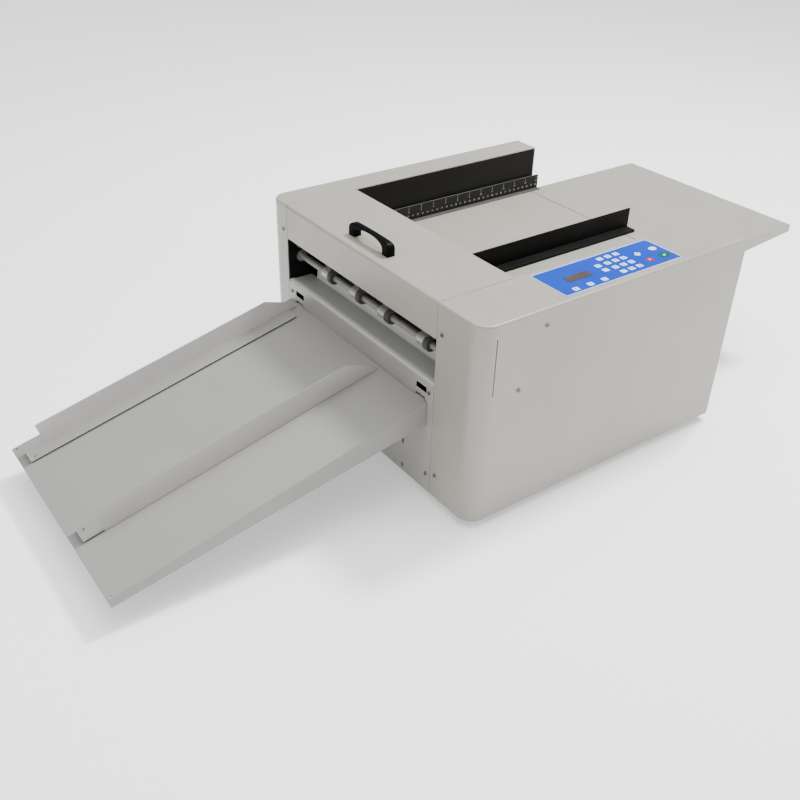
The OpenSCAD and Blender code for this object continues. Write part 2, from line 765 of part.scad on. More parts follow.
module exit_tray() {
    end = 36;
    tray_frame() color(tray_paint) difference() {
        union() {
            translate([table_x, -tray_len, -sheet]) cube([table_w, tray_len, sheet]);
            for (x = [table_x, table_x + table_w - sheet]) yz(x, x + sheet)
                polygon([[0, 0], [-tray_len, 0], [-tray_len, -12], [-end * sin(tray_tilt), -end * cos(tray_tilt)]]);
            translate([table_x, -tray_len, -10]) cube([table_w, sheet, 10]);
            for (x = hook_x) yz(x + 1, x + 19)
                polygon([[-1, -sheet], [-1, 0], [6, 0], [6, -5.5], [4.5, -5.5], [4.5, -sheet]]);
            for (x = hook_x) rod(x + 1, x + 19, hook_bead[0], hook_bead[1], 1.1);
        }
        for (x = [table_x + 5, table_x + table_w - 5]) translate([x, -tray_len + 6, -4]) cylinder(h = 8, r = 1.6);
    }
}

// Sheet guide with a clipped machine end and a raised foot; side = 1 puts the foot towards +X.
module tray_guide(x, side) {
    tray_frame() color(tray_paint) translate([x, 0, 0]) mirror([side < 0 ? 1 : 0, 0, 0]) difference() {
        union() {
            yz(0, 1.2) polygon([[-4, air], [-16, 14], [-52, tray_guide_h], [-tray_wall_end, tray_guide_h], [-tray_wall_end, air]]);
            translate([0, -tray_foot_end, 2.6]) cube([27, tray_foot_end - 20, 1.2]);
            translate([0, -tray_foot_end, 2.6]) cube([27, 1.2, 9]);
            for (y = [-60, 32 - tray_foot_end]) translate([14, y, air]) cylinder(h = 2.6 - air, r = 7);
        }
        translate([20, 8 - tray_foot_end, 0]) cylinder(h = 8, r = 1.8);
    }
}

module left_tray_guide() {
    tray_guide(tray_guide_x[0], 1);
}

module right_tray_guide() {
    tray_guide(tray_guide_x[1], -1);
}

// Pan-head screw with a cross recess, pointing along +Y from the face y = 0.
module screw_y() {
    difference() {
        union() {
            rotate([90, 0, 0]) cylinder(h = 1.6, r1 = 3.2, r2 = 2.6);
            rotate([-90, 0, 0]) cylinder(h = 6, r = 1.7);
        }
        for (a = [0, 90]) rotate([0, a, 0]) translate([-1.8, -2.6, -0.4]) cube([3.6, 1.8, 0.8]);
    }
}

module cover_screws() {
    mach() color(steel) {
        for (z = front_screw_z) for (x = [left_screw_x, right_screw_x]) translate([x, 0, z]) screw_y();
        for (p = side_screw_at) {
            translate([x_r, p[0], p[1]]) rotate([0, 0, 90]) screw_y();
            translate([x_l, p[0], p[1]]) rotate([0, 0, -90]) screw_y();
        }
    }
}

module panel_screws() {
    mach() color(steel) {
        for (x = panel_screw_x) for (z = panel_screw_z) translate([x, 0, z]) screw_y();
        for (x = table_screw_x) translate([x, body_d + sheet, table_screw_z]) rotate([0, 0, 180]) screw_y();
    }
}

base_plate();
rubber_feet();
left_side_plate();
right_side_plate();
cross_bars();
left_cover();
right_cover();
front_panel();
rear_panel();
exit_guide_plate();
feed_table();
rear_table();
ruler_guide();
ruler_strip();
right_guide();
guide_magnets();
lid();
lid_handle();
handle_screws();
lid_hinge_pins();
exit_shaft();
exit_rollers();
exit_roller_hubs();
exit_idler_shaft();
exit_idler_rollers();
carry_shaft();
carry_rollers();
carry_idler_shaft();
carry_idler_rollers();
feed_shaft();
feed_rollers();
shaft_bearings();
separator_bar();
separator_plates();
crease_anvil();
guide_posts();
blade_carrier();
crease_blade();
return_springs();
cam_shaft();
lift_cams();
drive_motor();
drive_motor_shaft();
motor_belt();
exit_belt();
feed_belt();
crease_motor();
crease_motor_shaft();
crease_belt();
control_board();
power_supply();
panel_overlay();
display_window();
power_inlet();
power_switch();
exit_tray();
left_tray_guide();
right_tray_guide();
cover_screws();
panel_screws();
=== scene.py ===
"""Looks of a sheet creasing machine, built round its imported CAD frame."""

import json
import math

import bmesh
import bpy
from bpy.props import FloatProperty, FloatVectorProperty, PointerProperty
from mathutils import Matrix, Quaternion, Vector


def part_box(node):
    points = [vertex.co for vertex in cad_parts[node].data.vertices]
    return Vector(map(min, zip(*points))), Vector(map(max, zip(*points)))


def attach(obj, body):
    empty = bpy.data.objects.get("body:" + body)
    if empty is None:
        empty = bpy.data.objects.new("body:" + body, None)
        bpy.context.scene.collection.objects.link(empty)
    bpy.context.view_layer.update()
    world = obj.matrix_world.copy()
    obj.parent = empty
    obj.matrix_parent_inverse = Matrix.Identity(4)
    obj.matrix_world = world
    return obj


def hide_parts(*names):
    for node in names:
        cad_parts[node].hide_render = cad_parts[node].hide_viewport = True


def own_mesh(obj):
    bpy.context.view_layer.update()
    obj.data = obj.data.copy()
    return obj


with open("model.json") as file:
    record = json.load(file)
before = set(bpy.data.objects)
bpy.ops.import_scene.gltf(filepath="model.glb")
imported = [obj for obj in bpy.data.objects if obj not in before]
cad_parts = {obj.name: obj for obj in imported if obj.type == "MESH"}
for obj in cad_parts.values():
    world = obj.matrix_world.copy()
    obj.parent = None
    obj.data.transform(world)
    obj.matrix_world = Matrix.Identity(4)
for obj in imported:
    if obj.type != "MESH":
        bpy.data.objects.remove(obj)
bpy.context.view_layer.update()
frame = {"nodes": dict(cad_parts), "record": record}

bl_info = {
    "name": "Creasing Machine Looks",
    "version": (1, 0, 0),
    "blender": (4, 5, 0),
    "location": "View3D > Sidebar > Creaser",
    "description": "Finishes, key panel, ruler marks, handle and stage of a sheet creasing machine",
    "category": "Object",
}

MM = 0.001
# The slot's left edge, the front face and the body's underside, where the machine's own measures start.
START = Vector((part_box("feed_table")[0].x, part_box("front_panel")[0].y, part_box("base_plate")[0].z))
PANEL_LOW, PANEL_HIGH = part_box("panel_overlay")
PANEL_MID = (PANEL_LOW + PANEL_HIGH) / 2
LID_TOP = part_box("lid")[1].z
HANDLE_LOW, HANDLE_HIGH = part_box("lid_handle")
STRIP_LOW, STRIP_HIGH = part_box("ruler_strip")
# The mix node's colour sockets by place, because others share their names.
MIX_FACTOR, MIX_FIRST, MIX_SECOND, MIX_RESULT = 0, 6, 7, 2
ROW_INPUTS = {"Count": "NodeSocketInt", "First": "NodeSocketVector", "Step": "NodeSocketVector"}
KEY_CORNER_STEPS = 6
COIL_STEPS_PER_TURN = 32
COIL_WIRE_SIDES = 12
SCREW_SIDES = 24
FIGURE_STEPS = 3
# Points closer than this, in metres, count as one.
SAME_PLACE = 1e-6
# A font's size over the height of its figures.
FONT_PER_FIGURE = 1.38


def colour_property(label, text, value):
    limits = {"size": 3, "subtype": "COLOR", "min": 0, "max": 1}
    return FloatVectorProperty(name=label, description=text, default=value, **limits)


def length_property(label, text, millimetres):
    return FloatProperty(name=label, description=text, default=millimetres * MM, min=0, unit="LENGTH")


class CreaserColours(bpy.types.PropertyGroup):
    """Colours that a user may want to change."""

    paint: colour_property("Body paint", "Enamel on covers, lid and tables", (0.290, 0.273, 0.236))
    tray: colour_property("Tray paint", "Enamel on the exit tray and its guides", (0.250, 0.246, 0.238))
    black: colour_property("Black paint", "Inner walls and right guide", (0.0035, 0.0035, 0.0032))
    film: colour_property("Key film", "Ground colour of the key panel", (0.005, 0.040, 0.370))
    key: colour_property("Keys", "Printed key faces", (0.56, 0.68, 0.86))
    start: colour_property("Start key", "Printed start key", (0.004, 0.075, 0.040))
    stop: colour_property("Stop key", "Printed stop key", (0.32, 0.012, 0.022))


class CreaserSizes(bpy.types.PropertyGroup):
    """Sizes that a user may want to change."""

    key_width: length_property("Key width", "Width of a printed key across the panel", 8.0)
    key_length: length_property("Key length", "Length of a printed key along the panel", 9.2)
    key_rise: length_property("Key rise", "How far a key is embossed above the film", 0.25)
    inch_pitch: length_property("Inch pitch", "Distance between the ruler's tall ticks", 25.4)
    centimetre_pitch: length_property("Centimetre pitch", "Distance between the ruler's small ticks", 10)


class Finish:
    """A procedural material under construction."""

    def __init__(self, name, roughness=0.5, metallic=0.0):
        self.material = bpy.data.materials.new(name)
        self.material.use_nodes = True
        self.tree = self.material.node_tree
        self.shader = self.tree.nodes["Principled BSDF"]
        self.shader.inputs["Roughness"].default_value = roughness
        self.shader.inputs["Metallic"].default_value = metallic
        self.place = self.node("ShaderNodeTexCoord").outputs["Object"]
        self.soft_normal = None

    def feed(self, socket, value):
        if isinstance(value, bpy.types.NodeSocket):
            self.tree.links.new(value, socket)
        else:
            socket.default_value = value

    def node(self, kind, values=None, **settings):
        made = self.tree.nodes.new(kind)
        for key, value in settings.items():
            setattr(made, key, value)
        for key, value in (values or {}).items():
            self.feed(made.inputs[key], value)
        return made

    def noise(self, per_metre, detail=2.0, stretch=(1, 1, 1)):
        place = self.node("ShaderNodeMapping", {"Vector": self.place, "Scale": stretch}).outputs[0]
        keys = {"Vector": place, "Scale": per_metre, "Detail": detail}
        return self.node("ShaderNodeTexNoise", keys).outputs[0]

    def tiles(self, per_metre, joint):
        """A mask that is 1 on the joints of a brick pattern."""
        keys = {"Vector": self.place, "Scale": per_metre, "Mortar Size": joint}
        return self.node("ShaderNodeTexBrick", keys).outputs["Fac"]

    def cells(self, per_metre):
        """The distance from the middle of the nearest cell."""
        keys = {"Vector": self.place, "Scale": per_metre}
        return self.node("ShaderNodeTexVoronoi", keys).outputs["Distance"]

    def span(self, value, low, high, start=0.3, end=0.7):
        keys = {"Value": value, "From Min": start, "From Max": end, "To Min": low, "To Max": high}
        return self.node("ShaderNodeMapRange", keys).outputs[0]

    def times(self, a, b):
        return self.node("ShaderNodeMath", {0: a, 1: b}, operation="MULTIPLY").outputs[0]

    def less(self, a, b):
        return self.node("ShaderNodeMath", {0: a, 1: b}, operation="SUBTRACT").outputs[0]

    def vector(self, operation, *values):
        return self.node("ShaderNodeVectorMath", dict(enumerate(values)), operation=operation).outputs[0]

    def blend(self, factor, a, b):
        """A colour between two, each a tuple or a socket."""
        first, second = ((*side, 1) if isinstance(side, tuple) else side for side in (a, b))
        keys = {MIX_FACTOR: factor, MIX_FIRST: first, MIX_SECOND: second}
        return self.node("ShaderNodeMix", keys, data_type="RGBA").outputs[MIX_RESULT]

    def edge(self, radius, start=0.02, end=0.25):
        """A mask that is 1 on outer and inner edges of the solid."""
        self.soft_normal = self.node("ShaderNodeBevel", {"Radius": radius}, samples=4).outputs[0]
        normal = self.node("ShaderNodeNewGeometry").outputs["Normal"]
        keys = {0: self.soft_normal, 1: normal}
        same = self.node("ShaderNodeVectorMath", keys, operation="DOT_PRODUCT").outputs["Value"]
        return self.span(self.less(1.0, same), 0.0, 1.0, start, end)

    def colour(self, value):
        self.feed(self.shader.inputs["Base Color"], value)

    def rough(self, value):
        self.feed(self.shader.inputs["Roughness"], value)

    def bump(self, height, strength, distance):
        keys = {"Strength": strength, "Distance": distance, "Height": height}
        if self.soft_normal is not None:
            keys["Normal"] = self.soft_normal
        self.feed(self.shader.inputs["Normal"], self.node("ShaderNodeBump", keys).outputs[0])

    def specular(self, level):
        self.shader.inputs["Specular IOR Level"].default_value = level

    def coat(self, weight, roughness):
        self.shader.inputs["Coat Weight"].default_value = weight
        self.shader.inputs["Coat Roughness"].default_value = roughness


def shade(colour, factor):
    return tuple(min(1.0, channel * factor) for channel in colour)


def enamel(name, colour, roughness, grain=0.10, wear_and_highlight=1.22, shine=0.5, gloss=0.0, level=None):
    """Stoved enamel on sheet steel: orange peel, faint clouding, dust, and brighter edges that are partly
    wear and partly a painted highlight.

    A second colour may be given for level faces: painted light and shade, which sets them apart from upright
    faces by how the light falls.
    """
    made = Finish(name, roughness)
    colour = tuple(colour)
    cloud = made.span(made.noise(7, 4), 0, 1)
    body = made.blend(cloud, shade(colour, 0.965), shade(colour, 1.03))
    # Painted light and shade: level faces take the second colour, standing in for the light they catch apart
    # from upright faces.
    if level is not None:
        tilt = made.node("ShaderNodeTexCoord").outputs["Normal"]
        upward = made.node("ShaderNodeSeparateXYZ", {0: tilt}).outputs["Z"]
        body = made.blend(made.span(upward, 0, 1, 0.4, 0.8), body, tuple(level))
    speck = made.span(made.noise(1500, 1), 0, 1, 0.62, 0.75)
    body = made.blend(made.times(speck, 0.12), body, shade(colour, 0.6))
    # Lighter edges: partly paint wear, partly a painted highlight along folds and seams.
    rub_and_highlight = made.times(made.edge(1.2 * MM), made.span(made.noise(60, 4), 0.15, 0.9))
    made.colour(made.blend(rub_and_highlight, body, shade(colour, wear_and_highlight)))
    made.rough(made.span(made.noise(22, 5), roughness - 0.06, roughness + 0.07))
    made.bump(made.noise(700, 2), grain, 0.3 * MM)
    made.specular(shine)
    made.coat(gloss, 0.28)
    return made.material


def bright_steel(name, colour, roughness, stretch, lines=0.12, metal=1.0):
    """Plated or ground steel with fine lines along one direction and light staining."""
    made = Finish(name, roughness, metal)
    colour = tuple(colour)
    lay = made.noise(900, 3, stretch)
    stain = made.span(made.noise(30, 5), 0, 1, 0.45, 0.75)
    body = made.blend(made.span(lay, 0, 1), shade(colour, 0.88), shade(colour, 1.06))
    made.colour(made.blend(made.times(stain, 0.3), body, shade(colour, 0.62)))
    made.rough(made.span(lay, roughness - 0.07, roughness + 0.1))
    made.bump(lay, lines, 0.1 * MM)
    return made.material


def rubber(name, colour, roughness, bloom=2.2):
    """Matt rubber with a grey bloom and fine pores."""
    made = Finish(name, roughness)
    colour = tuple(colour)
    dust = made.span(made.noise(120, 5), 0, 1, 0.4, 0.8)
    edge = made.times(made.edge(0.8 * MM), 0.5)
    body = made.blend(made.times(dust, 0.45), colour, shade(colour, bloom))
    made.colour(made.blend(edge, body, shade(colour, bloom * 1.3)))
    made.rough(made.span(made.noise(200, 3), roughness - 0.08, roughness + 0.08))
    made.bump(made.noise(1800, 3), 0.25, 0.2 * MM)
    return made.material


def moulded(name, colour, roughness, grain=0.2, wear_and_highlight=1.7, shine=0.22):
    """Moulded plastic with a fine spark-eroded grain and lighter edges, partly polish and partly a painted
    highlight.
    """
    made = Finish(name, roughness)
    made.specular(shine)
    colour = tuple(colour)
    cell = made.cells(1600.0)
    cloud = made.span(made.noise(40, 4), 0, 1)
    body = made.blend(cloud, shade(colour, 0.85), shade(colour, 1.25))
    # Lighter edges: partly polish, partly a painted highlight.
    rub_and_highlight = made.times(made.edge(1.0 * MM), 0.6)
    made.colour(made.blend(rub_and_highlight, body, shade(colour, wear_and_highlight)))
    made.rough(made.span(made.noise(90, 4), roughness - 0.08, roughness + 0.08))
    made.bump(cell, grain, 0.1 * MM)
    return made.material


def printed(name, colour, roughness=0.38):
    """Screen-printed ink with a slightly uneven lay."""
    made = Finish(name, roughness)
    colour = tuple(colour)
    made.colour(made.blend(made.span(made.noise(450, 3), 0, 1), shade(colour, 0.93), shade(colour, 1.05)))
    made.rough(made.span(made.noise(300, 2), roughness - 0.05, roughness + 0.06))
    made.specular(0.15)
    made.bump(made.noise(2500, 2), 0.05, 0.1 * MM)
    return made.material


def key_film(name, colour, border, radius, margin):
    """Blue panel film with a pale printed border that follows its rounded outline."""
    made = Finish(name, 0.5)
    colour = tuple(colour)
    soft = 0.1 * MM
    centre = (PANEL_MID.x, PANEL_MID.y, 0)
    half = (PANEL_HIGH - PANEL_LOW) / 2
    core = (half.x - radius, half.y - radius, 1)
    away = made.vector("ABSOLUTE", made.vector("SUBTRACT", made.place, centre))
    past = made.vector("MAXIMUM", made.vector("SUBTRACT", away, core), (0, 0, 0))
    reach = made.node("ShaderNodeVectorMath", {0: past}, operation="LENGTH").outputs["Value"]
    rim = made.span(reach, 0, 1, radius - margin - soft, radius - margin + soft)
    cloud = made.span(made.noise(12, 3), 0, 1)
    body = made.blend(cloud, shade(colour, 0.94), shade(colour, 1.07))
    made.colour(made.blend(rim, body, border))
    made.rough(made.span(made.noise(80, 3), 0.44, 0.56))
    made.bump(made.noise(1200, 2), 0.06, 0.2 * MM)
    made.specular(0.06)
    return made.material


def smoked_window(name):
    """Tinted display window over a dark glass with a faint grid."""
    made = Finish(name, 0.12)
    grid = made.tiles(260.0, 0.03)
    tint = made.blend(made.span(made.noise(25, 3), 0, 1), (0.048, 0.032, 0.027), (0.075, 0.050, 0.042))
    made.colour(made.blend(made.times(grid, 0.35), tint, (0.06, 0.05, 0.05)))
    made.rough(made.span(made.noise(60, 2), 0.08, 0.18))
    made.coat(0.3, 0.05)
    return made.material


def solder_mask(name):
    """Green circuit board with tracks and pale pads."""
    made = Finish(name, 0.35)
    track = made.tiles(160.0, 0.05)
    pad = made.cells(320.0)
    body = made.blend(track, (0.012, 0.11, 0.045), (0.03, 0.19, 0.08))
    made.colour(made.blend(made.span(pad, 1, 0, 0.10, 0.16), body, (0.55, 0.52, 0.42)))
    made.rough(made.span(made.noise(150, 3), 0.28, 0.45))
    made.bump(track, 0.3, 0.1 * MM)
    return made.material


def paint_slots(finishes):
    """Gives every CAD node the finish of its material slot."""
    for row in frame["record"]["subparts"]:
        if row["material_slot"] in finishes:
            paint_nodes(finishes[row["material_slot"]], row["node"])


def paint_nodes(finish, *nodes):
    """Gives single CAD nodes a finish of their own."""
    for node in nodes:
        data = frame["nodes"][node].data
        data.materials.clear()
        data.materials.append(finish)


def place_mesh(name, mesh, finish, body):
    """Puts a finished mesh in the scene as one piece that rides on a CAD body."""
    mesh.materials.clear()
    mesh.materials.append(finish)
    piece = bpy.data.objects.new(name, mesh)
    bpy.context.scene.collection.objects.link(piece)
    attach(piece, body)
    return piece


def mesh_from(name, shape, smooth=None):
    """A mesh from a bmesh, smooth below an angle in degrees."""
    bmesh.ops.recalc_face_normals(shape, faces=shape.faces)
    mesh = bpy.data.meshes.new(name)
    shape.to_mesh(mesh)
    shape.free()
    if smooth is not None:
        mesh.shade_smooth()
        mesh.set_sharp_from_angle(angle=math.radians(smooth))
    return mesh


def new_tree(name, inputs):
    """An empty geometry tree: the tree, its two group nodes and its inputs' identifiers."""
    tree = bpy.data.node_groups.new(name, "GeometryNodeTree")
    ids = {}
    for label, kind in inputs.items():
        ids[label] = tree.interface.new_socket(label, in_out="INPUT", socket_type=kind).identifier
    tree.interface.new_socket("Geometry", in_out="OUTPUT", socket_type="NodeSocketGeometry")
    return tree, tree.nodes.new("NodeGroupInput"), tree.nodes.new("NodeGroupOutput"), ids


def finish_tree(tree, source, target, instances):
    """Ends a tree in real geometry with the asked finish."""
    real = tree.nodes.new("GeometryNodeRealizeInstances")
    dress = tree.nodes.new("GeometryNodeSetMaterial")
    tree.links.new(instances, real.inputs[0])
    tree.links.new(real.outputs[0], dress.inputs["Geometry"])
    tree.links.new(source.outputs["Finish"], dress.inputs["Material"])
    tree.links.new(dress.outputs[0], target.inputs[0])


def run_tree(name, tree, ids, values):
    """Evaluates a tree once and returns its plain mesh."""
    holder = bpy.data.objects.new(name + "_maker", bpy.data.meshes.new(name + "_maker"))
    bpy.context.scene.collection.objects.link(holder)
    maker = holder.modifiers.new("maker", "NODES")
    maker.node_group = tree
    for label, value in values.items():
        maker[ids[label]] = value
    ready = holder.evaluated_get(bpy.context.evaluated_depsgraph_get())
    mesh = bpy.data.meshes.new_from_object(ready)
    mesh.name = name
    bpy.data.objects.remove(holder)
    return mesh


def spread_row(tree, source, target, shape):
    """Ends a tree in a straight row of copies of a shape."""
    line = tree.nodes.new("GeometryNodeMeshLine")
    line.mode = "OFFSET"
    spread = tree.nodes.new("GeometryNodeInstanceOnPoints")
    tree.links.new(source.outputs["Count"], line.inputs["Count"])
    tree.links.new(source.outputs["First"], line.inputs["Start Location"])
    tree.links.new(source.outputs["Step"], line.inputs["Offset"])
    tree.links.new(line.outputs[0], spread.inputs["Points"])
    tree.links.new(shape, spread.inputs["Instance"])
    finish_tree(tree, source, target, spread.outputs[0])


def bar_row_tree():
    """A straight row of equal bars."""
    inputs = {**ROW_INPUTS, "Bar": "NodeSocketVector", "Finish": "NodeSocketMaterial"}
    tree, source, target, ids = new_tree("bar_row", inputs)
    bar = tree.nodes.new("GeometryNodeMeshCube")
    tree.links.new(source.outputs["Bar"], bar.inputs["Size"])
    spread_row(tree, source, target, bar.outputs["Mesh"])
    return tree, ids


def key_grid_tree():
    """Rows of round-cornered key faces that stand a little above the film."""
    inputs = {"Across": "NodeSocketInt", "Along": "NodeSocketInt", "Reach": "NodeSocketVector"}
    inputs.update({"Middle": "NodeSocketVector", "Width": "NodeSocketFloat", "Length": "NodeSocketFloat"})
    inputs.update({"Corner": "NodeSocketFloat", "Rise": "NodeSocketFloat", "Finish": "NodeSocketMaterial"})
    tree, source, target, ids = new_tree("key_grid", inputs)
    grid = tree.nodes.new("GeometryNodeMeshGrid")
    split = tree.nodes.new("ShaderNodeSeparateXYZ")
    move = tree.nodes.new("GeometryNodeTransform")
    outline = tree.nodes.new("GeometryNodeCurvePrimitiveQuadrilateral")
    round_off = tree.nodes.new("GeometryNodeFilletCurve")
    round_off.mode = "POLY"
    face = tree.nodes.new("GeometryNodeFillCurve")
    face.mode = "NGONS"
    lift = tree.nodes.new("GeometryNodeExtrudeMesh")
    spread = tree.nodes.new("GeometryNodeInstanceOnPoints")
    round_off.inputs["Count"].default_value = KEY_CORNER_STEPS
    lift.inputs["Individual"].default_value = False
    tree.links.new(source.outputs["Reach"], split.inputs[0])
    tree.links.new(split.outputs[0], grid.inputs["Size X"])
    tree.links.new(split.outputs[1], grid.inputs["Size Y"])
    tree.links.new(source.outputs["Across"], grid.inputs["Vertices X"])
    tree.links.new(source.outputs["Along"], grid.inputs["Vertices Y"])
    tree.links.new(grid.outputs["Mesh"], move.inputs["Geometry"])
    tree.links.new(source.outputs["Middle"], move.inputs["Translation"])
    tree.links.new(source.outputs["Width"], outline.inputs["Width"])
    tree.links.new(source.outputs["Length"], outline.inputs["Height"])
    tree.links.new(outline.outputs[0], round_off.inputs["Curve"])
    tree.links.new(source.outputs["Corner"], round_off.inputs["Radius"])
    tree.links.new(round_off.outputs[0], face.inputs["Curve"])
    tree.links.new(face.outputs[0], lift.inputs["Mesh"])
    tree.links.new(source.outputs["Rise"], lift.inputs["Offset Scale"])
    tree.links.new(move.outputs[0], spread.inputs["Points"])
    tree.links.new(lift.outputs["Mesh"], spread.inputs["Instance"])
    finish_tree(tree, source, target, spread.outputs[0])
    return tree, ids


def template_row_tree():
    """A straight row of copies of one template object."""
    inputs = {**ROW_INPUTS, "Template": "NodeSocketObject", "Finish": "NodeSocketMaterial"}
    tree, source, target, ids = new_tree("template_row", inputs)
    pick = tree.nodes.new("GeometryNodeObjectInfo")
    tree.links.new(source.outputs["Template"], pick.inputs["Object"])
    spread_row(tree, source, target, pick.outputs["Geometry"])
    return tree, ids


def coil_row_tree():
    """A straight row of equal helical springs that stand upright."""
    inputs = {**ROW_INPUTS, "Turns": "NodeSocketFloat", "Height": "NodeSocketFloat"}
    inputs.update({"Radius": "NodeSocketFloat", "Wire": "NodeSocketFloat", "Finish": "NodeSocketMaterial"})
    tree, source, target, ids = new_tree("coil_row", inputs)
    path = tree.nodes.new("GeometryNodeCurveSpiral")
    path.inputs["Resolution"].default_value = COIL_STEPS_PER_TURN
    wire = tree.nodes.new("GeometryNodeCurvePrimitiveCircle")
    wire.inputs["Resolution"].default_value = COIL_WIRE_SIDES
    sweep = tree.nodes.new("GeometryNodeCurveToMesh")
    sweep.inputs["Fill Caps"].default_value = True
    tree.links.new(source.outputs["Turns"], path.inputs["Rotations"])
    tree.links.new(source.outputs["Height"], path.inputs["Height"])
    tree.links.new(source.outputs["Radius"], path.inputs["Start Radius"])
    tree.links.new(source.outputs["Radius"], path.inputs["End Radius"])
    tree.links.new(source.outputs["Wire"], wire.inputs["Radius"])
    tree.links.new(path.outputs[0], sweep.inputs["Curve"])
    tree.links.new(wire.outputs[0], sweep.inputs["Profile Curve"])
    spread_row(tree, source, target, sweep.outputs[0])
    return tree, ids


def join_meshes(name, meshes):
    """One mesh from several, each already in place."""
    shape = bmesh.new()
    for mesh in meshes:
        shape.from_mesh(mesh)
        bpy.data.meshes.remove(mesh)
    joined = bpy.data.meshes.new(name)
    shape.to_mesh(joined)
    shape.free()
    return joined


def numeral(text, height, thickness, place):
    """A mesh of plain figures, centred on the origin and then put in place."""
    curve = bpy.data.curves.new("numeral", "FONT")
    curve.body = text
    curve.size = height * FONT_PER_FIGURE
    curve.align_x = "CENTER"
    curve.align_y = "CENTER"
    curve.extrude = thickness / 2
    curve.resolution_u = FIGURE_STEPS
    holder = bpy.data.objects.new("numeral", curve)
    bpy.context.scene.collection.objects.link(holder)
    ready = holder.evaluated_get(bpy.context.evaluated_depsgraph_get())
    mesh = bpy.data.meshes.new_from_object(ready)
    bpy.data.objects.remove(holder)
    bpy.data.curves.remove(curve)
    mesh.transform(place)
    return mesh


def close_rings(shape, rings):
    """Walls between rings of as many points, with both ends closed."""
    for low, high in zip(rings, rings[1:]):
        for i in range(len(low)):
            shape.faces.new((low[i - 1], low[i], high[i], high[i - 1]))
    shape.faces.new(rings[-1])
    shape.faces.new(list(reversed(rings[0])))


def socket_screw(radius, height, direction):
    """A cap screw with a six-sided socket, its seat at the origin and its head along the direction."""
    shoulder, crown, mouth, bottom = 0.82, 0.86, 0.5, 0.4
    sixth = math.pi / 3
    turn = [2 * math.pi * i / SCREW_SIDES for i in range(SCREW_SIDES)]
    socket = [radius * mouth / math.cos((a + sixth / 2) % sixth - sixth / 2) for a in turn]
    round_rings = [(radius, 0), (radius, height * shoulder), (radius * crown, height)]
    rings = [([reach] * SCREW_SIDES, z) for reach, z in round_rings]
    rings += [(socket, height), (socket, height * bottom)]
    shape = bmesh.new()
    loops = []
    for reaches, z in rings:
        loops.append([shape.verts.new((r * math.cos(a), r * math.sin(a), z)) for r, a in zip(reaches, turn)])
    close_rings(shape, loops)
    mesh = mesh_from("socket_screw", shape, 30)
    mesh.transform(Vector((0, 0, 1)).rotation_difference(Vector(direction)).to_matrix().to_4x4())
    return mesh


class CREASER_OT_sheet_metal(bpy.types.Operator):
    """Enamel on covers, tables, tray, guides, inner walls and motors, with painted light on the front panel
    and the tray guides.
    """

    bl_idname = "creaser.sheet_metal"
    bl_label = "Finish Sheet Metal"

    def execute(self, context):
        colours = context.scene.creaser_colours
        paint_slots({
            "painted_sheet": enamel("warm_grey_enamel", colours.paint, 0.44, wear_and_highlight=1.7, gloss=0.45),
            "tray_sheet": enamel("tray_enamel", colours.tray, 0.46, wear_and_highlight=1.35),
            "black_sheet": enamel("satin_black_enamel", colours.black, 0.5, wear_and_highlight=3.0, shine=0.2),
            "motor_black": enamel("motor_enamel", (0.02, 0.02, 0.02), 0.5, wear_and_highlight=4.0),
        })
        # Painted light: the face is lighter and cooler than the body paint, standing in for light bounced up
        # onto it, and the level lip is lighter still, standing in for light from above.
        face, lip_painted_light = (0.308, 0.299, 0.276), (0.540, 0.522, 0.480)
        panel = enamel("front_panel_painted_light", face, 0.44, wear_and_highlight=1.4, gloss=0.45, level=lip_painted_light)
        paint_nodes(panel, "front_panel")
        # Painted light: the upright walls of the tray guides are painted about twice as light as the tray,
        # the left one lighter still, standing in for light falling on them; their level faces keep about the
        # tray's colour.
        light, dull = shade(colours.tray, 2.0), shade(colours.tray, 0.95)
        paint_nodes(enamel("right_tray_guide_painted_light", light, 0.46, level=dull), "right_tray_guide")
        paint_nodes(enamel("left_tray_guide_painted_light", shade(light, 1.25), 0.46, level=dull), "left_tray_guide")
        satin = enamel("guide_black", shade(colours.black, 0.8), 0.5, wear_and_highlight=2.0, shine=0.12)
        paint_nodes(satin, "right_guide")
        return {"FINISHED"}


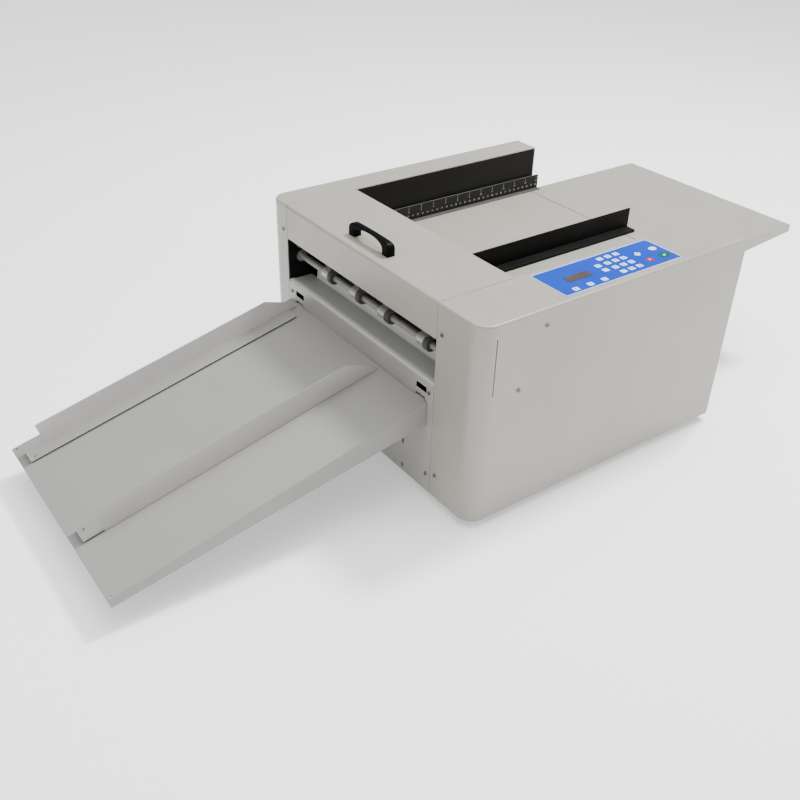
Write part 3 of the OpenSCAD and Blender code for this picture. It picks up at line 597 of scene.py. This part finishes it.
class CREASER_OT_bright_metal(bpy.types.Operator):
    """Plated, ground and turned metal, then the few metal parts with a finish of their own, among them a
    painted reflection on the screws, painted shade on the crease anvil and painted light and shade on the
    exit chute.
    """

    bl_idname = "creaser.bright_metal"
    bl_label = "Finish Bright Metal"

    # How much the fine lines of a finish are stretched along each axis: a smaller share is a longer line.
    plate_lines = (1, 0.12, 1)
    screw_lines = (1, 0.3, 1)
    shaft_lines = (1, 0.04, 0.04)
    turned_lines = (1, 0.05, 0.05)
    blade_lines = (0.06, 1, 1)

    def execute(self, context):
        ground = bright_steel("ground_shaft", (0.42, 0.41, 0.39), 0.36, self.shaft_lines, metal=0.8)
        turned = bright_steel("turned_aluminium", (0.46, 0.45, 0.42), 0.42, self.turned_lines, metal=0.8)
        paint_slots({
            "zinc_steel": bright_steel("zinc_plate", (0.30, 0.30, 0.30), 0.34, self.plate_lines),
            "ground_steel": ground,
            "tool_steel": bright_steel("tool_steel", (0.40, 0.40, 0.42), 0.32, self.blade_lines),
            "aluminium": turned,
        })
        # Painted reflection: the plated screw heads are given a dark colour, standing in for the dark
        # surroundings they reflect.
        zinc = bright_steel("screw_zinc_painted_reflection", (0.17, 0.17, 0.165), 0.36, self.screw_lines)
        paint_nodes(zinc, "cover_screws", "panel_screws")
        # Painted shade: the crease anvil is painted near black, standing in for the deep shadow under the
        # lid's edge.
        black_painted_shade = bright_steel("painted_shade_black_steel", (0.012, 0.012, 0.012), 0.5, self.blade_lines)
        paint_nodes(black_painted_shade, "crease_anvil")
        dull = bright_steel("dull_shaft", (0.26, 0.25, 0.23), 0.5, self.shaft_lines, metal=0.35)
        paint_nodes(dull, "exit_shaft")
        paint_nodes(enamel("guide_grey", (0.060, 0.057, 0.051), 0.45, wear_and_highlight=1.8), "ruler_guide")
        # Painted light and shade: the upright riser is painted light and the level shelf darker, standing in
        # for how light falls in the exit slot.
        chute = enamel("chute_painted_light_and_shade", (0.60, 0.60, 0.57), 0.40, level=(0.40, 0.40, 0.395))
        paint_nodes(chute, "exit_guide_plate")
        return {"FINISHED"}


class CREASER_OT_rubber_and_plastic(bpy.types.Operator):
    """Rollers, feet, belts and moulded plastic parts."""

    bl_idname = "creaser.rubber_and_plastic"
    bl_label = "Finish Rubber and Plastic"

    def execute(self, context):
        paint_slots({
            "roller_rubber": rubber("roller_rubber", (0.044, 0.042, 0.036), 0.72),
            "foot_rubber": rubber("foot_rubber", (0.020, 0.020, 0.020), 0.8),
            "belt_rubber": rubber("belt_rubber", (0.016, 0.016, 0.016), 0.7),
            "black_plastic": moulded("black_moulding", (0.0014, 0.0014, 0.0013), 0.5, shine=0.05),
            "ruler_black": moulded("ruler_ground", (0.011, 0.011, 0.011), 0.5, 0.1, wear_and_highlight=3.0),
        })
        return {"FINISHED"}


class CREASER_OT_electrics(bpy.types.Operator):
    """Key film, display window and circuit board."""

    bl_idname = "creaser.electrics"
    bl_label = "Finish Electrics"

    border_colour = (0.52, 0.58, 0.66)
    corner = 5 * MM
    border = 1.1 * MM

    def execute(self, context):
        colours = context.scene.creaser_colours
        paint_slots({
            "panel_film": key_film("key_film", colours.film, self.border_colour, self.corner, self.border),
            "window_film": smoked_window("smoked_window"),
            "circuit_board": solder_mask("solder_mask"),
        })
        return {"FINISHED"}


class CREASER_OT_lid_handle(bpy.types.Operator):
    """Moulded bow handle with block feet on the lid."""

    bl_idname = "creaser.lid_handle"
    bl_label = "Make Lid Handle"

    # Half of the handle in millimetres, from foot to crown: outer point, inner point, half width.
    half_outline = [
        (47.6, 0.0, 33.4, 0.0, 6.2), (47.6, 5.0, 33.4, 4.0, 6.2), (47.5, 9.5, 33.0, 8.0, 6.2),
        (47.1, 12.8, 31.6, 10.5, 6.1), (45.7, 15.8, 29.0, 12.3, 5.8), (42.8, 17.8, 25.4, 13.6, 5.3),
        (37.0, 19.0, 20.0, 14.7, 4.8), (28.0, 19.7, 13.6, 15.6, 4.4),
        (15.0, 20.2, 7.0, 16.1, 4.1), (0.0, 20.4, 0.0, 16.3, 4.0),
    ]
    edge_round = 1.3 * MM
    edge_steps = 4

    def execute(self, context):
        pairs = [(-a, b, -c, d, e) for a, b, c, d, e in self.half_outline]
        pairs += list(reversed(self.half_outline[:-1]))
        middle = (HANDLE_LOW + HANDLE_HIGH) / 2
        base = Vector((middle.x, middle.y, LID_TOP))
        shape = bmesh.new()
        sides = []
        for side in (-1, 1):
            outer = [shape.verts.new(base + Vector((x, side * half, z)) * MM) for x, z, _, _, half in pairs]
            inner = [shape.verts.new(base + Vector((x, side * half, z)) * MM) for _, _, x, z, half in pairs]
            sides.append((outer, inner))
        (front_out, front_in), (back_out, back_in) = sides
        for i in range(len(pairs) - 1):
            j = i + 1
            shape.faces.new((front_out[i], front_in[i], front_in[j], front_out[j]))
            shape.faces.new((back_out[i], back_out[j], back_in[j], back_in[i]))
            shape.faces.new((front_out[i], front_out[j], back_out[j], back_out[i]))
            shape.faces.new((front_in[i], back_in[i], back_in[j], front_in[j]))
        for i in (0, -1):
            shape.faces.new((front_out[i], back_out[i], back_in[i], front_in[i]))
        bmesh.ops.recalc_face_normals(shape, faces=shape.faces)
        long_edges = []
        for line in (front_out, front_in, back_out, back_in):
            long_edges += [shape.edges.get((a, b)) for a, b in zip(line, line[1:])]
        for foot in (0, -1):
            long_edges.append(shape.edges.get((front_out[foot], back_out[foot])))
            long_edges.append(shape.edges.get((front_in[foot], back_in[foot])))
        upright = [edge for edge in long_edges if max(v.co.z for v in edge.verts) > base.z + SAME_PLACE]
        rounding = {"offset": self.edge_round, "segments": self.edge_steps, "profile": 0.5, "affect": "EDGES"}
        bmesh.ops.bevel(shape, geom=upright, **rounding)
        mesh = mesh_from("lid_handle_bow", shape, 50)
        finish = bpy.data.materials["black_moulding"]
        piece = place_mesh("lid_handle_bow", mesh, finish, "lid")
        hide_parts("lid_handle")
        return {"FINISHED"}


class CREASER_OT_key_panel(bpy.types.Operator):
    """Embossed keys and plain figures on the key film."""

    bl_idname = "creaser.key_panel"
    bl_label = "Make Key Panel"

    # Places on the panel in millimetres from its near left corner: across, along.
    pad_middle = (34.0, 130.1)
    pad_pitch = (14.6, 15.2)
    pad_count = (4, 3)
    row_keys = [(59.2, 24.8), (59.2, 50.4), (59.2, 76.0), (26.5, 97.2), (40.6, 97.2)]
    turned_key = (28.6, 170.6)
    pale_key = (27.1, 202.2)
    stop_key = (49.8, 171.8)
    start_key = (50.3, 200.2)
    # Half sizes of the oval keys and of the pale spots on two of them.
    pale_oval = (5.2, 6.4)
    stop_oval, stop_spot = (5.2, 6.2), (1.5, 1.8)
    start_oval, start_spot = (7.6, 9.6), (1.9, 2.4)
    spot_rise = 0.06 * MM
    key_corner = 1.4 * MM
    # Where an oval's rim starts to soften, as a share of its rise, and its top as a share of its width.
    wall_share, top_share = 0.7, 0.94
    figures = "123456789*0#"
    signs = "<>=+-"
    figure_height = 5.6 * MM
    figure_thickness = 0.08 * MM
    figure_gap = 0.01 * MM

    def spot(self, place):
        return Vector((PANEL_LOW.x + place[0] * MM, PANEL_LOW.y + place[1] * MM, PANEL_HIGH.z))

    def disc(self, place, oval, rise, steps=40):
        """An oval key face with a softened rim."""
        shape = bmesh.new()
        middle = self.spot(place)
        across, along = oval[0] * MM, oval[1] * MM
        turn = [2 * math.pi * i / steps for i in range(steps)]
        rings = []
        for r, z in ((1.0, 0.0), (1.0, rise * self.wall_share), (self.top_share, rise)):
            points = [Vector((across * r * math.cos(a), along * r * math.sin(a), z)) for a in turn]
            rings.append([shape.verts.new(middle + point) for point in points])
        close_rings(shape, rings)
        return mesh_from("disc", shape)

    def key_meshes(self, white, sizes):
        """The pad, the single keys, the turned key and the pale oval."""
        tree, ids = key_grid_tree()
        common = {"Width": sizes.key_width, "Length": sizes.key_length, "Rise": sizes.key_rise}
        common.update({"Corner": self.key_corner, "Finish": white})
        columns, lines = self.pad_count
        reach = ((columns - 1) * self.pad_pitch[0] * MM, (lines - 1) * self.pad_pitch[1] * MM, 0)
        pad = {"Across": columns, "Along": lines, "Reach": reach, "Middle": self.spot(self.pad_middle)}
        keys = [run_tree("pad_keys", tree, ids, {**common, **pad})]
        # A grid has at least two points each way, so a single key is four in one place until they are merged.
        single = {"Across": 2, "Along": 2, "Reach": (0, 0, 0)}
        for place in self.row_keys:
            keys.append(run_tree("row_key", tree, ids, {**common, **single, "Middle": self.spot(place)}))
        turned = run_tree("turned_key", tree, ids, {**common, **single})
        slant = Matrix.Rotation(math.radians(45), 4, "Z")
        turned.transform(Matrix.Translation(self.spot(self.turned_key)) @ slant)
        return keys + [turned, self.disc(self.pale_key, self.pale_oval, sizes.key_rise)]

    def figure(self, text, place, rise):
        """A plain figure that lies on a key."""
        spot = self.spot(place) + Vector((0, 0, rise + self.figure_gap))
        turn = Matrix.Rotation(math.radians(90), 4, "Z")
        return numeral(text, self.figure_height, self.figure_thickness, Matrix.Translation(spot) @ turn)

    def execute(self, context):
        colours, sizes = context.scene.creaser_colours, context.scene.creaser_sizes
        white = printed("key_white", colours.key)
        ink = printed("key_ink", (0.008, 0.014, 0.05))
        green = printed("start_green", colours.start)
        red = printed("stop_red", colours.stop)
        rise = sizes.key_rise
        mesh = join_meshes("key_faces", self.key_meshes(white, sizes))
        shape = bmesh.new()
        shape.from_mesh(mesh)
        bmesh.ops.remove_doubles(shape, verts=shape.verts, dist=SAME_PLACE)
        bmesh.ops.holes_fill(shape, edges=[edge for edge in shape.edges if edge.is_boundary])
        bmesh.ops.recalc_face_normals(shape, faces=shape.faces)
        shape.to_mesh(mesh)
        shape.free()
        place_mesh("key_faces", mesh, white, "machine")
        start = self.disc(self.start_key, self.start_oval, rise)
        place_mesh("start_key", start, green, "machine")
        stop = self.disc(self.stop_key, self.stop_oval, rise)
        place_mesh("stop_key", stop, red, "machine")
        marks = []
        columns, lines = self.pad_count
        for i, text in enumerate(self.figures):
            across = self.pad_middle[0] + (i // lines - (columns - 1) / 2) * self.pad_pitch[0]
            along = self.pad_middle[1] + (i % lines - (lines - 1) / 2) * self.pad_pitch[1]
            marks.append(self.figure(text, (across, along), rise))
        marks += [self.figure(text, place, rise) for text, place in zip(self.signs, self.row_keys)]
        marks.append(self.figure("+", self.turned_key, rise))
        place_mesh("key_figures", join_meshes("key_figures", marks), ink, "machine")
        spots = [self.disc(self.stop_key, self.stop_spot, rise + self.spot_rise)]
        spots.append(self.disc(self.start_key, self.start_spot, rise + self.spot_rise))
        place_mesh("key_marks", join_meshes("key_marks", spots), white, "machine")
        return {"FINISHED"}


class CREASER_OT_ruler_marks(bpy.types.Operator):
    """Inch ticks with plain figures at every inch and every centimetre on the left feed guide."""

    bl_idname = "creaser.ruler_marks"
    bl_label = "Make Ruler Marks"

    # Where the ruler's zero lies behind the front face, and heights on the strip as shares of its own.
    zero = 122.6 * MM
    tick_low, tick_high = 0.68, 0.96
    inch_figure, centimetre_figure = 0.57, 0.28
    ink_thickness = 0.06 * MM
    tick_width = 0.36 * MM
    figure_height = 3.1 * MM
    end_room = 2 * MM

    def execute(self, context):
        sizes = context.scene.creaser_sizes
        pale = printed("ruler_print", (0.52, 0.52, 0.50), 0.5)
        tree, ids = bar_row_tree()
        face = STRIP_HIGH.x
        zero = START.y + self.zero
        room = STRIP_HIGH.y - self.end_room - zero
        foot, tall = STRIP_LOW.z, STRIP_HIGH.z - STRIP_LOW.z
        inches, centimetres = int(room / sizes.inch_pitch), int(room / sizes.centimetre_pitch)
        middle = foot + tall * (self.tick_low + self.tick_high) / 2
        values = {"Count": inches, "First": Vector((face, zero + sizes.inch_pitch, middle)), "Finish": pale}
        values["Step"] = Vector((0, sizes.inch_pitch, 0))
        values["Bar"] = Vector((self.ink_thickness, self.tick_width, tall * (self.tick_high - self.tick_low)))
        marks = [run_tree("ticks", tree, ids, values)]
        stand = Matrix.Rotation(math.radians(90), 4, "Z") @ Matrix.Rotation(math.radians(90), 4, "X")
        inch_row = (inches, sizes.inch_pitch, self.inch_figure)
        centimetre_row = (centimetres, sizes.centimetre_pitch, self.centimetre_figure)
        for count, pitch, share in (inch_row, centimetre_row):
            for i in range(1, count + 1):
                place = Matrix.Translation((face, zero + i * pitch, foot + tall * share)) @ stand
                marks.append(numeral(str(i), self.figure_height, self.ink_thickness, place))
        place_mesh("ruler_marks", join_meshes("ruler_marks", marks), pale, "machine")
        return {"FINISHED"}


class CREASER_OT_inner_screws(bpy.types.Operator):
    """Cap screws that clamp the blade and the sheet separators."""

    bl_idname = "creaser.inner_screws"
    bl_label = "Make Inner Screws"

    # The first screw's distance from the slot's left edge, then each row's count and pitch.
    first_screw = 60 * MM
    clamp_count, clamp_pitch = 5, 62.5 * MM
    separator_count, separator_pitch = 3, 125 * MM
    # The clamp screws' height on the carrier, and each head's radius and height.
    clamp_rise = 6 * MM
    clamp_head = (2.9 * MM, 2.6 * MM)
    separator_head = (3.6 * MM, 3.4 * MM)

    def row(self, name, screw, count, first, pitch, body):
        """Copies of one screw along the slot, as one piece."""
        template = bpy.data.objects.new("template", screw)
        bpy.context.scene.collection.objects.link(template)
        tree, ids = template_row_tree()
        finish = bpy.data.materials["tool_steel"]
        values = {"Count": count, "First": first, "Step": Vector((pitch, 0, 0))}
        values.update({"Template": template, "Finish": finish})
        mesh = run_tree(name, tree, ids, values)
        bpy.data.objects.remove(template)
        place_mesh(name, mesh, finish, body)

    def execute(self, context):
        left = START.x + self.first_screw
        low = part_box("blade_carrier")[0]
        first = Vector((left, low.y, low.z + self.clamp_rise))
        clamp = socket_screw(*self.clamp_head, (0, -1, 0))
        self.row("blade_clamp_screws", clamp, self.clamp_count, first, self.clamp_pitch, "blade_unit")
        low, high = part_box("separator_bar")
        first = Vector((left, (low.y + high.y) / 2, high.z))
        cap = socket_screw(*self.separator_head, (0, 0, 1))
        self.row("separator_screws", cap, self.separator_count, first, self.separator_pitch, "machine")
        return {"FINISHED"}


class CREASER_OT_return_springs(bpy.types.Operator):
    """Springs under the blade carrier, which on the real machine shorten as the blade comes down."""

    bl_idname = "creaser.return_springs"
    bl_label = "Make Return Springs"

    wire = 0.8 * MM
    turns = 3
    count = 2

    def execute(self, context):
        low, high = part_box("return_springs")
        outer = (high.y - low.y) / 2
        tall = high.z - low.z
        first = Vector((low.x + outer, (low.y + high.y) / 2, low.z + self.wire))
        step = Vector((high.x - low.x - 2 * outer, 0, 0))
        tree, ids = coil_row_tree()
        finish = bpy.data.materials["tool_steel"]
        values = {"Count": self.count, "First": first, "Step": step, "Turns": self.turns, "Finish": finish}
        values.update({"Height": tall - 2 * self.wire, "Radius": outer - self.wire, "Wire": self.wire})
        mesh = run_tree("return_spring_coils", tree, ids, values)
        mesh.shade_smooth()
        piece = place_mesh("return_spring_coils", mesh, finish, "machine")
        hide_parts("return_springs")
        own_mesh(piece)
        return {"FINISHED"}


class CREASER_OT_stage(bpy.types.Operator):
    """Pale floor, soft studio light and the camera."""

    bl_idname = "creaser.stage"
    bl_label = "Make Stage"

    # The camera's place in metres, its turn as a quaternion, and its lens and sensor in millimetres.
    eye = (0.976030, -0.806578, 0.846308)
    turn = (0.780183, 0.427822, 0.207329, 0.406568)
    lens = 42.8986
    sensor = 36
    # Strength and height of the horizon's pale band, then the sky's strength low and high, and its bend.
    cove = 1.7
    cove_reach = 0.16
    horizon = 0.06
    zenith = 1.9
    sky_power = 2.0
    floor_glow = 0.45
    floor_reach = 12
    # Name, place, target, width in metres and watts of each lamp.
    lamps = (
        ("overhead", (0.1, 0.2, 2.6), (0, 0, 0.1), 2.4, 44),
        ("key", (0.05, 1.35, 2.7), (0, 0, 0.25), 0.5, 125),
        ("right_fill", (1.7, 1.5, 1.0), (0.25, 0.3, 0.15), 0.9, 9),
        ("front_fill", (0.0, -2.2, 0.85), (0, -0.15, 0.2), 0.9, 7),
    )

    def lamp(self, name, place, target, size, watts):
        data = bpy.data.lights.new(name, "AREA")
        data.shape = "DISK"
        data.size = size
        data.energy = watts
        lamp = bpy.data.objects.new(name, data)
        lamp.location = place
        lamp.rotation_mode = "QUATERNION"
        lamp.rotation_quaternion = (Vector(target) - Vector(place)).to_track_quat("-Z", "Y")
        bpy.context.scene.collection.objects.link(lamp)

    def lay_floor(self, context):
        shape = bmesh.new()
        bmesh.ops.create_grid(shape, x_segments=1, y_segments=1, size=self.floor_reach)
        floor = bpy.data.objects.new("studio_floor", mesh_from("studio_floor", shape))
        made = Finish("studio_paper", 0.85)
        made.colour(made.blend(made.span(made.noise(0.8, 3), 0, 1), (0.90, 0.90, 0.90), (0.92, 0.92, 0.92)))
        made.shader.inputs["Emission Color"].default_value = (1, 1, 1, 1)
        made.shader.inputs["Emission Strength"].default_value = self.floor_glow
        floor.data.materials.append(made.material)
        context.scene.collection.objects.link(floor)

    def light_sky(self, context):
        """A sky that brightens upwards, with a pale band along the horizon."""
        world = bpy.data.worlds.new("studio")
        world.use_nodes = True
        nodes, links = world.node_tree.nodes, world.node_tree.links
        side = nodes.new("ShaderNodeTexCoord")
        split = nodes.new("ShaderNodeSeparateXYZ")
        fade = nodes.new("ShaderNodeMapRange")
        fade.inputs["To Min"].default_value = self.horizon
        fade.inputs["To Max"].default_value = self.zenith
        links.new(side.outputs["Generated"], split.inputs[0])
        lift = nodes.new("ShaderNodeMath")
        lift.operation = "POWER"
        lift.inputs[1].default_value = self.sky_power
        links.new(split.outputs["Z"], lift.inputs[0])
        links.new(lift.outputs[0], fade.inputs["Value"])
        band = nodes.new("ShaderNodeMapRange")
        band.inputs["From Max"].default_value = self.cove_reach
        band.inputs["To Min"].default_value = self.cove
        band.inputs["To Max"].default_value = 0
        links.new(split.outputs["Z"], band.inputs["Value"])
        total = nodes.new("ShaderNodeMath")
        links.new(fade.outputs[0], total.inputs[0])
        links.new(band.outputs[0], total.inputs[1])
        links.new(total.outputs[0], nodes["Background"].inputs["Strength"])
        nodes["Background"].inputs["Color"].default_value = (1, 1, 1, 1)
        context.scene.world = world

    def execute(self, context):
        self.lay_floor(context)
        self.light_sky(context)
        for row in self.lamps:
            self.lamp(*row)
        lens = bpy.data.cameras.new("camera")
        lens.lens = self.lens
        lens.sensor_width = self.sensor
        camera = bpy.data.objects.new("camera", lens)
        camera.location = self.eye
        camera.rotation_mode = "QUATERNION"
        camera.rotation_quaternion = Quaternion(self.turn)
        context.scene.collection.objects.link(camera)
        context.scene.camera = camera
        return {"FINISHED"}


STEPS = (
    CREASER_OT_sheet_metal,
    CREASER_OT_bright_metal,
    CREASER_OT_rubber_and_plastic,
    CREASER_OT_electrics,
    CREASER_OT_lid_handle,
    CREASER_OT_key_panel,
    CREASER_OT_ruler_marks,
    CREASER_OT_inner_screws,
    CREASER_OT_return_springs,
    CREASER_OT_stage,
)


class CREASER_PT_looks(bpy.types.Panel):
    """Lists the steps that dress the machine."""

    bl_idname = "CREASER_PT_looks"
    bl_label = "Creasing Machine"
    bl_space_type = "VIEW_3D"
    bl_region_type = "UI"
    bl_category = "Creaser"

    def draw(self, context):
        for group in (context.scene.creaser_colours, context.scene.creaser_sizes):
            for key in group.bl_rna.properties.keys():
                if key not in ("rna_type", "name"):
                    self.layout.prop(group, key)
        for step in STEPS:
            self.layout.operator(step.bl_idname)


CLASSES = (CreaserColours, CreaserSizes, *STEPS, CREASER_PT_looks)


def register():
    for item in CLASSES:
        bpy.utils.register_class(item)
    bpy.types.Scene.creaser_colours = PointerProperty(type=CreaserColours)
    bpy.types.Scene.creaser_sizes = PointerProperty(type=CreaserSizes)


def unregister():
    del bpy.types.Scene.creaser_sizes
    del bpy.types.Scene.creaser_colours
    for item in reversed(CLASSES):
        bpy.utils.unregister_class(item)


def main():
    register()
    bpy.ops.creaser.sheet_metal()
    bpy.ops.creaser.bright_metal()
    bpy.ops.creaser.rubber_and_plastic()
    bpy.ops.creaser.electrics()
    bpy.ops.creaser.lid_handle()
    bpy.ops.creaser.key_panel()
    bpy.ops.creaser.ruler_marks()
    bpy.ops.creaser.inner_screws()
    bpy.ops.creaser.return_springs()
    bpy.ops.creaser.stage()


if __name__ == "__main__":
    main()
